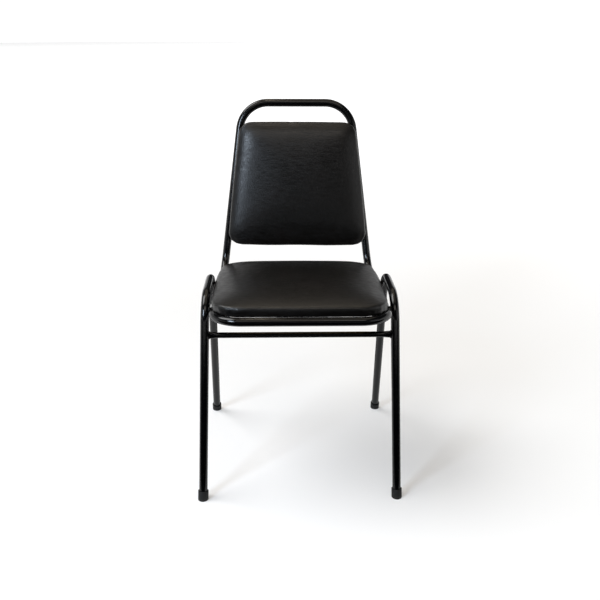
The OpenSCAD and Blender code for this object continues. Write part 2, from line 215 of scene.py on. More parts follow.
def relief(tree, height, strength, depth_mm, **inputs):
    """A bump of this depth, as the normal that it gives."""
    bump = {"Height": height, "Strength": strength, "Distance": depth_mm * MM, **inputs}
    return add(tree, "ShaderNodeBump", bump).outputs["Normal"]


def close_material(tree, **inputs):
    """The principled shader with these settings, wired to the material's output."""
    settings = {key.replace("_", " "): value for key, value in inputs.items()}
    shader = add(tree, "ShaderNodeBsdfPrincipled", settings)
    add(tree, "ShaderNodeOutputMaterial", {"Surface": shader.outputs["BSDF"]})


# %% [markdown]
# The frame is black gloss enamel, stoved on the tube after welding. It is almost black, and what
# the eye reads is the reflection: sharp bright streaks from the lamps. A faint orange peel bends
# them, and a little dust and handling changes the gloss from place to place.

# %% Stoved enamel
ENAMEL = colour("#020203")
ENAMEL_DUSTY = colour("#070706")


def stoved_enamel():
    material, tree = new_material("stoved_black_enamel")
    place = add(tree, "ShaderNodeTexCoord").outputs["Object"]
    dust = noise(tree, place, 35, 5)
    peel = noise(tree, place, 4, 2)
    speck = noise(tree, place, 1.2, 3)
    gloss = add(tree, "ShaderNodeMapRange", {"Value": speck, "From Min": 0.4, "From Max": 0.8,
                                             "To Min": 0.13, "To Max": 0.22})
    close_material(tree, Base_Color=two_colours(tree, dust, 0.45, ENAMEL, 0.80, ENAMEL_DUSTY),
                   Roughness=gloss.outputs["Result"], Specular_IOR_Level=0.36,
                   Normal=relief(tree, peel, 0.05, 0.4))
    return material


enamel = stoved_enamel()
print("made", enamel.name)

# %% [markdown]
# The pads are covered in upholstery vinyl: calendered PVC with a fine pressed grain. The grain
# spreads each reflection into a soft sheen, and the sheet is a very dark warm brown. The cloth
# backing shows through as faint threads that run across the pad, so the sheen breaks into fine
# level streaks.

# %% Grained vinyl
VINYL_DEEP = colour("#060504")
VINYL_WORN = colour("#0c0908")


def grained_vinyl():
    material, tree = new_material("grained_black_vinyl")
    place = add(tree, "ShaderNodeTexCoord").outputs["Object"]
    cloud = noise(tree, place, 70, 4)
    pebble = add(tree, "ShaderNodeTexVoronoi", {"Vector": place, "Scale": grain(2.2), "Randomness": 0.9},
                 feature="SMOOTH_F1")
    crease = noise(tree, place, 9, 6, Roughness=0.6)
    across = add(tree, "ShaderNodeMapping", {"Vector": place, "Scale": (0.16, 1, 1)})
    thread = noise(tree, across.outputs["Vector"], 3.5, 2)
    gloss = add(tree, "ShaderNodeMapRange", {"Value": thread, "From Min": 0.3, "From Max": 0.7,
                                             "To Min": 0.30, "To Max": 0.46})
    fine = relief(tree, pebble.outputs["Distance"], 0.22, 0.25)
    soft = relief(tree, crease, 0.10, 1.0, Normal=fine)
    close_material(tree, Base_Color=two_colours(tree, cloud, 0.35, VINYL_DEEP, 0.70, VINYL_WORN),
                   Roughness=gloss.outputs["Result"], Specular_IOR_Level=0.40,
                   Normal=relief(tree, thread, 0.14, 0.6, Normal=soft))
    return material


vinyl = grained_vinyl()
print("made", vinyl.name)

# %% [markdown]
# The feet are moulded rubber, matt and dense black, scuffed a little paler near the floor. The
# boards are plywood with long pale grain. Screws, nuts and staples are zinc plated steel, which
# is a soft grey metal with a fine brushed break in its gloss.

# %% Rubber, plywood and zinc
RUBBER_BLACK, RUBBER_SCUFFED = colour("#131313"), colour("#4a4845")
BIRCH_DARK, BIRCH_PALE = colour("#a98a5f"), colour("#dcc59a")
ZINC_DARK, ZINC_PALE = colour("#9a9c9c"), colour("#c9cbca")


def moulded_rubber():
    material, tree = new_material("moulded_black_rubber")
    place = add(tree, "ShaderNodeTexCoord").outputs["Object"]
    scuff = noise(tree, place, 5, 6)
    height = add(tree, "ShaderNodeSeparateXYZ", {"Vector": place}).outputs["Z"]
    low = add(tree, "ShaderNodeMapRange", {"Value": height, "From Min": 6 * MM, "From Max": 0.0,
                                           "To Min": 0.0, "To Max": 0.6})
    worn = product(tree, low.outputs["Result"], scuff)
    close_material(tree, Base_Color=two_colours(tree, worn, 0, RUBBER_BLACK, 1, RUBBER_SCUFFED),
                   Roughness=0.62, Specular_IOR_Level=0.3, Normal=relief(tree, scuff, 0.15, 0.3))
    return material


def raw_plywood():
    material, tree = new_material("raw_birch_plywood")
    place = add(tree, "ShaderNodeTexCoord").outputs["Object"]
    along = add(tree, "ShaderNodeMapping", {"Vector": place, "Scale": (1.0, 0.06, 1.0)}).outputs["Vector"]
    fibre = noise(tree, along, 2.5, 6)
    flame = noise(tree, along, 22, 3)
    both = product(tree, fibre, flame)
    close_material(tree, Base_Color=two_colours(tree, both, 0.12, BIRCH_DARK, 0.42, BIRCH_PALE),
                   Roughness=0.7, Normal=relief(tree, fibre, 0.25, 0.2))
    return material


def zinc_plate():
    material, tree = new_material("zinc_plated_steel")
    place = add(tree, "ShaderNodeTexCoord").outputs["Object"]
    spangle = noise(tree, place, 1.5, 4)
    gloss = add(tree, "ShaderNodeMapRange", {"Value": spangle, "To Min": 0.28, "To Max": 0.45})
    close_material(tree, Base_Color=two_colours(tree, spangle, 0.3, ZINC_DARK, 0.7, ZINC_PALE),
                   Metallic=1.0, Roughness=gloss.outputs["Result"])
    return material


rubber = moulded_rubber()
plywood = raw_plywood()
zinc = zinc_plate()
print("made", rubber.name, plywood.name, zinc.name)


# %% [markdown]
# Every new piece gets its finish, takes the place of its plain node and rides on the chair's
# one body.

# %% Dressing a piece


def dress(piece, material, slot, *stands_for):
    piece.data.materials.clear()
    piece.data.materials.append(material)
    if stands_for:
        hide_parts(*stands_for)
    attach(piece, "root")
    return piece


def finish_node(name, material):
    mesh = nodes[name].data
    mesh.materials.clear()
    mesh.materials.append(material)


# %% [markdown]
# The sizes below are the chair's own, in millimetres, from the floor between the front feet. The
# frame's origin is under the middle of the whole chair, so one function moves a point there.

# %% Sizes of the chair
MIDDLE_Y = 250.075
TUBE_D = 19.05
FOOT_HALF, FOOT_DEPTH = 221.0, 423.0
SPLAY, FRONT_LEAN, REAR_LEAN = (math.tan(math.radians(a)) for a in (1.72, 10.6, 20.45))
ARCH_Z, ARCH_R = 455.0, 60.0
RAIL_Y, RAIL_Z, RAIL_REACH = -2.0, 435.2, 430.0
SLOPE, RECLINE = math.radians(4.4), math.radians(10)
TOP_Z, TOP_HALF = 825.5, 135.5
HOOP_R = (65.0, 60.0, 72.0)


def at(x, y, z):
    """A point of the chair in millimetres as a place in the frame."""
    return Vector((x, y - MIDDLE_Y, z)) * MM


def front_leg(side, z):
    return at(side * (FOOT_HALF - z * SPLAY), z * FRONT_LEAN, z)


def rear_leg(side, z):
    return at(side * (FOOT_HALF - z * SPLAY), FOOT_DEPTH - z * REAR_LEAN, z)


CROSS_Z = (RAIL_Z + RAIL_Y * math.tan(SLOPE)) / (1 + FRONT_LEAN * math.tan(SLOPE))
HOOP_HALF = FOOT_HALF - CROSS_Z * SPLAY - TUBE_D / math.cos(math.atan(SPLAY)) - 0.1
CORNER_Y = RAIL_Y + RAIL_REACH
CORNER_Z = RAIL_Z - RAIL_REACH * math.tan(SLOPE)
POST_LEN = (TOP_Z - CORNER_Z) / math.cos(RECLINE)
TOP_Y = CORNER_Y + (TOP_Z - CORNER_Z) * math.tan(RECLINE)
print("the hoop is", round(2 * HOOP_HALF + TUBE_D, 1), "mm wide over its rails")

# %% [markdown]
# A tube bender makes straight runs and round bends, one after the other, and the same can be done
# by hand: a circle is extruded along each run and spun round each bend. The straight and the bent
# lengths then share their points, so a reflection runs along the tube without a break.

# %% Bending a tube
RING_POINTS = 56
BEND_STEP = math.radians(4)


def bent_tube(name, corners, radii, diameter, closed=False):
    ways = [(b - a).normalized() for a, b in zip(corners, corners[1:])]
    turns = [0] + [a.angle(b) for a, b in zip(ways, ways[1:])] + [0]
    cuts = [radii[i] * MM * math.tan(turns[i] / 2) if radii[i] else 0 for i in range(len(corners))]
    bpy.ops.object.select_all(action="DESELECT")
    bpy.ops.mesh.primitive_circle_add(vertices=RING_POINTS, radius=diameter / 2 * MM, location=corners[0],
                                      rotation=ways[0].to_track_quat("Z", "Y").to_euler())
    tube = settle(name)
    edit(tube)
    for i, way in enumerate(ways):
        run = (corners[i + 1] - corners[i]).length - cuts[i] - cuts[i + 1]
        bpy.ops.mesh.extrude_edges_move(TRANSFORM_OT_translate={"value": way * run})
        if i + 1 < len(ways):
            axis = way.cross(ways[i + 1]).normalized()
            start = corners[i + 1] - way * cuts[i + 1]
            centre = start + axis.cross(way) * radii[i + 1] * MM
            bpy.ops.mesh.spin(steps=max(2, round(turns[i + 1] / BEND_STEP)), angle=-turns[i + 1],
                              center=centre, axis=axis)
    bpy.ops.mesh.select_all(action="SELECT")
    bpy.ops.mesh.remove_doubles(threshold=0.01 * MM)
    if not closed:
        bpy.ops.mesh.fill_holes(sides=0)
    bpy.ops.mesh.select_all(action="SELECT")
    bpy.ops.mesh.normals_make_consistent(inside=False)
    leave_edit()
    bpy.ops.object.shade_smooth_by_angle(angle=math.radians(40))
    return tube


TUBE_END_Z = 7.0
for side, word in ((1, "left"), (-1, "right")):
    leg = bent_tube(word + "_leg_tube",
                    [front_leg(side, TUBE_END_Z), front_leg(side, ARCH_Z), rear_leg(side, ARCH_Z),
                     rear_leg(side, TUBE_END_Z)], [0, ARCH_R, ARCH_R, 0], TUBE_D)
    dress(leg, enamel, "frame_enamel", word + "_leg_frame")
    print(leg.name, "has", len(leg.data.polygons), "faces, lowest point",
          round(min(v.co.z for v in leg.data.vertices) / MM, 2), "mm")

# %% [markdown]
# The hoop is one long tube. It starts and ends at the middle of the front rail, runs back under
# both sides of the seat, rises as the posts and closes across the top.

# %% Seat and back hoop
lower = [at(HOOP_HALF, RAIL_Y, RAIL_Z), at(HOOP_HALF, CORNER_Y, CORNER_Z), at(TOP_HALF, TOP_Y, TOP_Z)]
mirrored = [Vector((-p.x, p.y, p.z)) for p in reversed(lower)]
start = at(0, RAIL_Y, RAIL_Z)
hoop = bent_tube("seat_back_hoop_tube", [start, *lower, *mirrored, start],
                 [0, *HOOP_R, *reversed(HOOP_R), 0], TUBE_D, closed=True)
dress(hoop, enamel, "frame_enamel", "seat_back_hoop")
print(hoop.name, "spans", [round(s / MM, 1) for s in hoop.dimensions], "mm")

# %% [markdown]
# The crossbar is a thinner tube whose ends are pressed flat and stand upright against the legs.
# A circle is extruded along the bar and then, in short steps, scaled from round to flat.

# %% Front crossbar
BAR_D, BAR_Z, BAR_FLARE, BAR_FLAT, BAR_TALL = 12.7, 375.0, 22.0, 6.0, 16.5
BAR_END_GAP = 0.4
FLARE_STEPS = 6


def pressed_crossbar():
    leg_at = front_leg(1, BAR_Z)
    half = leg_at.x - (TUBE_D / 2 + BAR_END_GAP) * MM
    straight = half - BAR_FLARE * MM
    step = BAR_FLARE * MM / FLARE_STEPS
    bpy.ops.object.select_all(action="DESELECT")
    bpy.ops.mesh.primitive_circle_add(vertices=RING_POINTS, radius=BAR_D / 2 * MM,
                                      location=(0, leg_at.y, leg_at.z), rotation=(0, math.pi / 2, 0))
    bar = settle("front_crossbar_tube")
    edit(bar)
    bpy.ops.mesh.extrude_edges_move(TRANSFORM_OT_translate={"value": (straight, 0, 0)})
    flat, tall = 1.0, 1.0
    for k in range(1, FLARE_STEPS + 1):
        pressed = k / FLARE_STEPS
        pressed = pressed * pressed * (3 - 2 * pressed)
        next_flat = 1 + (BAR_FLAT / BAR_D - 1) * pressed
        next_tall = 1 + (BAR_TALL / BAR_D - 1) * pressed
        bpy.ops.mesh.extrude_edges_move(TRANSFORM_OT_translate={"value": (step, 0, 0)})
        bpy.ops.transform.resize(value=(1, next_flat / flat, next_tall / tall))
        flat, tall = next_flat, next_tall
    leave_edit()
    modify(bar, "MIRROR", use_axis=(True, False, False), use_mirror_merge=True, merge_threshold=0.01 * MM)
    edit(bar)
    bpy.ops.mesh.fill_holes(sides=0)
    bpy.ops.mesh.select_all(action="SELECT")
    bpy.ops.mesh.normals_make_consistent(inside=False)
    leave_edit()
    bpy.ops.object.shade_smooth_by_angle(angle=math.radians(40))
    return bar


bar = dress(pressed_crossbar(), enamel, "frame_enamel", "front_crossbar")
print(bar.name, "is", round(bar.dimensions.x / MM, 1), "mm long")

# %% [markdown]
# Each foot is a moulded rubber boot pushed over the tube. It starts as a cylinder on the leg's
# line, is cut level with the floor, and its mouth is rounded and sunk a little round the tube.

# %% Rubber feet
CAP_R, CAP_H = 11.825, 21.0
LIP_T, LIP_SUNK, LIP_ROUND = 1.9, 1.2, 0.8


def rubber_boot(name, foot, above):
    way = (above - foot).normalized()
    bpy.ops.object.select_all(action="DESELECT")
    low = foot - way * CAP_R * MM
    high = foot + way * CAP_H * MM
    bpy.ops.mesh.primitive_cylinder_add(vertices=RING_POINTS, radius=CAP_R * MM,
                                        depth=(high - low).length, location=(low + high) / 2,
                                        rotation=way.to_track_quat("Z", "Y").to_euler())
    boot = settle(name)
    edit(boot)
    bpy.ops.mesh.bisect(plane_co=(foot.x, foot.y, 0), plane_no=(0, 0, 1), clear_inner=True, use_fill=True)
    leave_edit()
    edit(boot, "DESELECT")
    leave_edit()
    for face in boot.data.polygons:
        face.select = face.normal.dot(way) > 0.99
    bpy.ops.object.mode_set(mode="EDIT")
    bpy.ops.mesh.select_mode(type="FACE")
    bpy.ops.mesh.inset(thickness=LIP_T * MM)
    bpy.ops.mesh.extrude_region_move(TRANSFORM_OT_translate={"value": way * -LIP_SUNK * MM})
    leave_edit()
    modify(boot, "BEVEL", width=LIP_ROUND * MM, segments=3, limit_method="ANGLE",
           angle_limit=math.radians(35))
    pick(boot)
    bpy.ops.object.shade_smooth_by_angle(angle=math.radians(35))
    return boot


for side, word in ((1, "left"), (-1, "right")):
    for end, leg_line in (("front", front_leg), ("rear", rear_leg)):
        boot = rubber_boot(f"{end}_{word}_boot", leg_line(side, 0), leg_line(side, ARCH_Z))
        dress(boot, rubber, "foot_rubber", f"{end}_{word}_foot_cap")
        print(boot.name, "stands at", round(min(v.co.z for v in boot.data.vertices) / MM, 3), "mm")

# %% [markdown]
# Each pad has its own frame: across, along and out from its board. The seat's follows the rails
# and the back's follows the posts, so heights over a board are easy to test.

# %% Pad frames
SEAT_SETBACK, SEAT_REAR_GAP, SEAT_BASE = 4.0, 6.0, TUBE_D / 2 + 3
SEAT_LEN = RAIL_REACH / math.cos(SLOPE) - TUBE_D / 2 - SEAT_SETBACK - SEAT_REAR_GAP
BACK_FOOT, BACK_GAP, BACK_BASE = 74.0, 40.0, TUBE_D / 2 + 0.2
BACK_LEN = POST_LEN - TUBE_D / 2 - BACK_GAP - BACK_FOOT


def shift(x, y, z):
    return Matrix.Translation((x, y, z))


seat_plane = Matrix.Scale(MM, 4) @ shift(0, RAIL_Y - MIDDLE_Y, RAIL_Z) @ Matrix.Rotation(-SLOPE, 4, "X")
back_plane = (Matrix.Scale(MM, 4) @ shift(0, CORNER_Y - MIDDLE_Y, CORNER_Z)
              @ Matrix.Rotation(math.pi / 2 - RECLINE, 4, "X"))
seat_frame = seat_plane @ shift(0, SEAT_SETBACK, SEAT_BASE)
back_frame = back_plane @ shift(0, BACK_FOOT, BACK_BASE)
print("the pads are", round(SEAT_LEN, 1), "and", round(BACK_LEN, 1), "mm long")


def points_of(piece):
    co = np.empty(len(piece.data.vertices) * 3)
    piece.data.vertices.foreach_get("co", co)
    return co.reshape(-1, 3)


def normals_of(piece):
    normals = np.empty(len(piece.data.vertices) * 3)
    piece.data.vertices.foreach_get("normal", normals)
    return normals.reshape(-1, 3)


def set_points(piece, co):
    piece.data.vertices.foreach_set("co", co.ravel())
    piece.data.update()


def through(matrix, co):
    m = np.array(matrix)
    return co @ m[:3, :3].T + m[:3, 3]


def ease(value, low, high):
    """Runs smoothly from 0 at low to 1 at high."""
    t = np.clip((value - low) / (high - low), 0, 1)
    return t * t * (3 - 2 * t)


# %% [markdown]
# A pad is foam held down by a stretched cover. Its plain form is wrapped in an even mesh of
# small squares, which is pressed back onto that form. Averaging neighbours rounds off the facets,
# and giving back the evened-out difference keeps the size. The face's height is evened out much
# further, which domes it as foam is under a pulled cover. Beside the board the cover is kept just
# outside the wood, and its base lies flat on the board's underside. Then a cloth simulation blows
# the pad up against its own stretch, while the band round the board holds it.
# What the cloth adds is calmed, and a small capped share of it is kept, because these pads are
# upholstered tight and show no creases, and because their size has to stay.
# Lengths and heights here are in millimetres. A band is a low and a high end, between which
# something comes on smoothly.

# %% Blowing up a pad
VOXEL = 4.5 * MM
ROUNDS, FACE_ROUNDS, CALM_ROUNDS = 14, 90, 36
SIM_FRAMES, PRESSURE = 20, 4
CLOTH_SHARE, SINK, SWELL = 0.16, 0.6, 1.2
SEAT_BOARD_T, BACK_BOARD_T = 12, 10
ROUNDED_BAND = (4, 11)
DOMED_ABOVE_BOARD, FREE_ABOVE_BOARD = (2, 16), (2, 9)
WRAP_REACH, WRAP_T, WRAP_FADE = 3, 0.9, (5, 1)
BASE_REACH = 2.4


def even_out(piece, field, rounds):
    """Averages a field over each point's neighbours, round after round."""
    ends = np.empty(len(piece.data.edges) * 2, dtype=int)
    piece.data.edges.foreach_get("vertices", ends)
    a, b = ends.reshape(-1, 2).T
    size = len(field)
    count = np.bincount(ends, minlength=size)[:, None]
    for _ in range(rounds):
        total = np.stack([np.bincount(a, field[b, k], size) + np.bincount(b, field[a, k], size)
                          for k in range(3)], axis=1)
        field = (field + total / count) / 2
    return field


def blow_up(pad, hold):
    """Runs the cloth and gives the points where it ends."""
    group = pad.vertex_groups.new(name="board_edge")
    for index, weight in enumerate(hold):
        group.add([index], float(weight), "REPLACE")
    pick(pad)
    cloth = pad.modifiers.new("Cloth", "CLOTH")
    cloth.settings.vertex_group_mass = "board_edge"
    cloth.settings.use_pressure = True
    cloth.settings.uniform_pressure_force = PRESSURE
    cloth.settings.effector_weights.gravity = 0
    cloth.settings.tension_stiffness = 25
    cloth.settings.compression_stiffness = 25
    cloth.settings.bending_stiffness = 0.5
    cloth.settings.quality = 6
    cloth.point_cache.frame_start, cloth.point_cache.frame_end = 1, SIM_FRAMES
    for step in range(1, SIM_FRAMES + 1):
        bpy.context.scene.frame_set(step)
    shaped = pad.evaluated_get(bpy.context.evaluated_depsgraph_get())
    moved = points_of(shaped)
    pad.modifiers.remove(cloth)
    bpy.context.scene.frame_set(1)
    pad.vertex_groups.clear()
    return moved


def copy_node(node, name):
    """A closed copy of a plain node, without its record."""
    piece = nodes[node].copy()
    piece.data = nodes[node].data.copy()
    piece.parent = None
    for key in list(piece.keys()):
        del piece[key]
    bpy.context.scene.collection.objects.link(piece)
    piece.name = name
    edit(piece)
    bpy.ops.mesh.remove_doubles(threshold=0.02 * MM)
    bpy.ops.mesh.convex_hull(join_triangles=True)
    leave_edit()
    return piece


def board_sides(node, pad_frame):
    """A board's sides in its pad's frame: their outward directions and how far out they lie."""
    flat = through(pad_frame.inverted(), points_of(nodes[node]))[:, :2]
    ring = flat[convex_hull_2d([tuple(point) for point in flat])]
    along = np.roll(ring, -1, axis=0) - ring
    real = np.hypot(*along.T) > 0.01
    ring, along = ring[real], along[real]
    out = np.stack([along[:, 1], -along[:, 0]], axis=1) / np.hypot(*along.T)[:, None]
    out *= np.sign(((ring - ring.mean(axis=0)) * out).sum(axis=1))[:, None]
    return out, (out * ring).sum(axis=1)


def from_edge(local, sides):
    """How far each point lies inside a board's outline, and which side is the nearest."""
    out, far = sides
    depth = far - local[:, :2] @ out.T
    nearest = depth.argmin(axis=1)
    return depth[np.arange(len(local)), nearest], nearest


def wrap_board(local, sides, board_t):
    """Moves the points beside a board just outside it, so that the board never shows through."""
    depth, nearest = from_edge(local, sides)
    short = np.where(depth < WRAP_REACH, np.clip(depth + WRAP_T, 0, None), 0)
    beside = ease(-local[:, 2], -board_t - WRAP_FADE[0], -board_t - WRAP_FADE[1])
    local[:, :2] += sides[0][nearest] * (short * beside)[:, None]
    base = (depth < WRAP_REACH) & (np.abs(local[:, 2]) < BASE_REACH)
    local[:, 2] = np.where(base, 0, local[:, 2])
    return local


def stuffed_pad(name, node, board, pad_frame, board_t, rise):
    """A pad made from its plain cover. Its middle rises this much over the plain face."""
    pad = copy_node(node, name)
    plain_form = pad.copy()
    plain_form.data = pad.data.copy()
    bpy.context.scene.collection.objects.link(plain_form)
    modify(pad, "REMESH", mode="VOXEL", voxel_size=VOXEL)
    modify(pad, "SHRINKWRAP", target=plain_form, wrap_method="NEAREST_SURFACEPOINT")
    bpy.data.objects.remove(plain_form)
    bpy.ops.object.shade_smooth()
    plain = points_of(pad)
    soft = even_out(pad, plain, ROUNDS)
    soft += even_out(pad, plain - soft, ROUNDS)
    height = through(pad_frame.inverted(), plain)[:, 2]
    rounded = ease(height, *ROUNDED_BAND)[:, None]
    local = through(pad_frame.inverted(), soft * rounded + plain * (1 - rounded))
    domed = ease(local[:, 2], *(board_t + above for above in DOMED_ABOVE_BOARD))
    calm = even_out(pad, local, FACE_ROUNDS)[:, 2]
    local[:, 2] += domed * (calm - local[:, 2])
    crown = (local[:, 2] - board_t) / (local[:, 2].max() - board_t)
    local[:, 2] += rise * np.clip(crown, 0, 1) ** 2
    shape = through(pad_frame, wrap_board(local, board, board_t))
    set_points(pad, shape)
    outward = normals_of(pad)
    free = ease(height, *(board_t + above for above in FREE_ABOVE_BOARD))
    moved = blow_up(pad, 1 - free)
    swell = CLOTH_SHARE * (even_out(pad, moved - shape, CALM_ROUNDS) * outward).sum(axis=1) / MM
    kept = np.where(swell > 0, SWELL * np.tanh(swell / SWELL), SINK * np.tanh(swell / SINK))
    set_points(pad, shape + outward * (kept * free * MM)[:, None])
    print(name, "keeps from", round(float(kept.min()), 1), "to", round(float(kept.max()), 1),
          "mm of what the cloth moved")
    modify(pad, "SUBSURF", levels=1, render_levels=1)
    bpy.ops.object.shade_smooth()
    return pad


seat_sides = board_sides("seat_board", seat_frame)
back_sides = board_sides("back_board", back_frame)
seat_pad = stuffed_pad("seat_cushion", "seat_cover", seat_sides, seat_frame, SEAT_BOARD_T, rise=1.0)
back_pad = stuffed_pad("back_cushion", "back_cover", back_sides, back_frame, BACK_BOARD_T, rise=2.0)

# %% [markdown]
# Hand-made pads don't sit dead straight. The soft part of each leans a little to one side of its
# board, and the vinyl puckers where it is pulled round the corners. Under the seat's front edge
# the stuffing rolls down over the rail: deepest at the corners, where it rests on the tube, and a
# little deeper at the right. The back's lower edge waves a little. A low bump that the even mesh
# leaves in the middle of the back's upper edge is pressed flat. Last, the points that would lie
# in the hoop's tube are pushed out of it.

# %% How the pads sit
SEAT_HALF, SEAT_CORNER_R = 193, 60
BACK_HALF, BACK_CORNER_R = 170, 32
ROLL_DROP, ROLL_RIGHT, ROLL_CORNER = 4.3, 0.4, 2.6
WAVE_TILT, WAVE_DEEP, WAVE_LONG = 0.6, 0.5, 24
BUMP_DEEP = 0.75
FOLD_RATE, FOLD_DRIFT, FOLD_BAND = 17, 5, (-13, -2)
LEAN_BAND = (0, 12)
TUBE_GAP, TUBE_NEAR = 0.4, 8


def lean(local, length, sideways, turn):
    """Shifts and turns the soft part over its board, and leaves the edge at the board."""
    soft = ease(local[:, 2], *LEAN_BAND)
    local[:, 0] += soft * (sideways - turn * (local[:, 1] - length / 2))
    local[:, 1] += soft * turn * local[:, 0]
    return local


def pucker(local, normals, length, half, radius, depth):
    """Small folds that fan out round the corners, deepest at the board's edge."""
    across = np.abs(local[:, 0]) - (half - radius)
    along = np.abs(local[:, 1] - length / 2) - (length / 2 - radius)
    round_corner = ease(np.minimum(across, along), 0, 0.35 * radius)
    fan = np.arctan2(along, across)
    folds = np.sin(fan * FOLD_RATE + 2 * np.sin(fan * FOLD_DRIFT))
    folds = folds * ease(-local[:, 2], *FOLD_BAND) * round_corner
    return local + normals * (depth * folds)[:, None]


def local_normals(pad, pad_frame):
    turn = np.array(pad_frame.inverted().to_3x3())
    normals = normals_of(pad) @ turn.T
    return normals / np.linalg.norm(normals, axis=1)[:, None]


def keep_off(pad, tube):
    """Pushes a pad's points out of the tube that it rests on."""
    surface = BVHTree.FromObject(tube, bpy.context.evaluated_depsgraph_get())
    pushed = 0
    for point in pad.data.vertices:
        spot, outward, _, _ = surface.find_nearest(point.co, TUBE_NEAR * MM)
        if spot is not None and (point.co - spot).dot(outward) < TUBE_GAP * MM:
            point.co = spot + outward * TUBE_GAP * MM
            pushed += 1
    pad.data.update()
    print(pad.name, "rests on", tube.name, "with", pushed, "points")


local = through(seat_frame.inverted(), points_of(seat_pad))
local = pucker(local, local_normals(seat_pad, seat_frame), SEAT_LEN, SEAT_HALF, SEAT_CORNER_R, depth=0.5)
local = lean(local, SEAT_LEN, sideways=-1.2, turn=math.radians(-0.35))
local = wrap_board(local, seat_sides, SEAT_BOARD_T)
under = ease(-local[:, 2], -10, -3)
rim = ease(-from_edge(local, seat_sides)[0], -11, -5)
front = ease(-local[:, 1], -66, -40)
at_right = ease(local[:, 0], 66, 110)
at_corners = ease(np.abs(local[:, 0]), 142, 168)
drop = ROLL_DROP + ROLL_RIGHT * at_right + ROLL_CORNER * at_corners
local[:, 2] -= under * rim * front * drop
set_points(seat_pad, through(seat_frame, local))
keep_off(seat_pad, hoop)

local = through(back_frame.inverted(), points_of(back_pad))
local = pucker(local, local_normals(back_pad, back_frame), BACK_LEN, BACK_HALF, BACK_CORNER_R, depth=0.35)
local = lean(local, BACK_LEN, sideways=2.2, turn=math.radians(-0.22))
local = wrap_board(local, back_sides, BACK_BOARD_T)
lower_edge = ease(-local[:, 1], -30, 0)
wave = WAVE_TILT * local[:, 0] / 130 - WAVE_DEEP * np.cos(local[:, 0] / WAVE_LONG - 0.2)
local[:, 1] -= wave * lower_edge
upper_edge = ease(local[:, 1], BACK_LEN - 12, BACK_LEN - 1)
bump = BUMP_DEEP * ease(-np.abs(local[:, 0]), -24, -13) * ease(local[:, 2], 2, 8)
local[:, 1] -= bump * upper_edge
set_points(back_pad, through(back_frame, local))
keep_off(back_pad, hoop)

# %% [markdown]
# Under the seat the vinyl is folded over the board and stapled down, and the bare board shows
# inside this hem. A shrunken copy of the board cuts the opening, one vinyl's thickness deep.

# %% Open hem under the seat
HEM_SHARE = 0.905
VINYL_T, CUT_EXTRA, CUT_BELOW = 1.0, 0.4, 8.0

cutter = copy_node("seat_board", "hem_cutter")
local = through(seat_frame.inverted(), points_of(cutter))
middle = np.array([0, SEAT_LEN / 2, 0])
flat = (local - middle) * [HEM_SHARE, HEM_SHARE, 1] + middle
flat[:, 2] = np.where(local[:, 2] > SEAT_BOARD_T / 2, VINYL_T + CUT_EXTRA, -CUT_BELOW)
set_points(cutter, through(seat_frame, flat))
modify(seat_pad, "BOOLEAN", operation="DIFFERENCE", solver="EXACT", object=cutter)
bpy.data.objects.remove(cutter)

for pad, covered in ((seat_pad, ("seat_cover", "seat_foam")), (back_pad, ("back_cover", "back_foam"))):
    pick(pad)
    bpy.ops.object.shade_smooth_by_angle(angle=math.radians(50))
    dress(pad, vinyl, "vinyl", *covered)
    print(pad.name, "has", len(pad.data.polygons), "faces")

# %% [markdown]
# The hem's staples follow the board's outline. Each is a short bar of flat wire whose edges are
# bevelled, lying on the vinyl with its legs in the wood.

# %% Staples
STAPLE_W, STAPLE_WIRE, STAPLE_GAP, STAPLE_INSET = 10.0, 1.2, 34.0, 11.0
STAPLE_SKEW = 0.12
LINE_POINTS = 721


def hem_line(angle):
    """A point of the staples' line, seen from the board's middle at this angle."""
    way = np.array([math.cos(angle), math.sin(angle)])
    out, far = seat_sides
    facing = out @ way > 0.01
    reach = ((far - STAPLE_INSET - out @ middle[:2])[facing] / (out @ way)[facing]).min()
    return Vector((reach * way[0], reach * way[1] + middle[1], -STAPLE_WIRE / 4))


angles = np.linspace(-math.pi, math.pi, LINE_POINTS)
line = [hem_line(angle) for angle in angles]
walked = np.cumsum([0] + [(b - a).length for a, b in zip(line, line[1:])])
count = round(walked[-1] / STAPLE_GAP)
staples = []
for k in range(count):
    angle = float(np.interp((k + 0.5) * walked[-1] / count, walked, angles))
    course = hem_line(angle + 0.01) - hem_line(angle - 0.01)
    skewed = math.atan2(course.y, course.x) + STAPLE_SKEW * math.sin(9 * k)
    bpy.ops.mesh.primitive_cube_add(size=1)
    staple = bpy.context.object
    staple.matrix_world = (seat_frame @ Matrix.Translation(hem_line(angle)) @ Matrix.Rotation(skewed, 4, "Z")
                           @ Matrix.Diagonal((STAPLE_W, STAPLE_WIRE, STAPLE_WIRE / 2, 1)))
    staples.append(staple)
staples = join(staples, "hem_staples")
modify(staples, "BEVEL", width=0.2 * MM, segments=2)
bpy.ops.object.shade_smooth_by_angle(angle=math.radians(35))
dress(staples, zinc, "plated_steel")
print(staples.name, "are", count)

# %% [markdown]
# The tubes are welded where they touch. A weld is a row of overlapping drops of metal, and here
# each row is made of small balls that one fine remesh melts together. The enamel covers them.

# %% Welds
RING_R, RING_DROPS, RING_DROP_R = 6.0, 22, 1.9
BAR_WELD_OUT = 0.6
DROP_R = 1.5
TAB_HALF = 11.5
SEAT_TAB_OUT, SEAT_TAB_UP = 1.0, 0.8
BACK_TAB_IN, BACK_TAB_UP = 7.4, 5.9


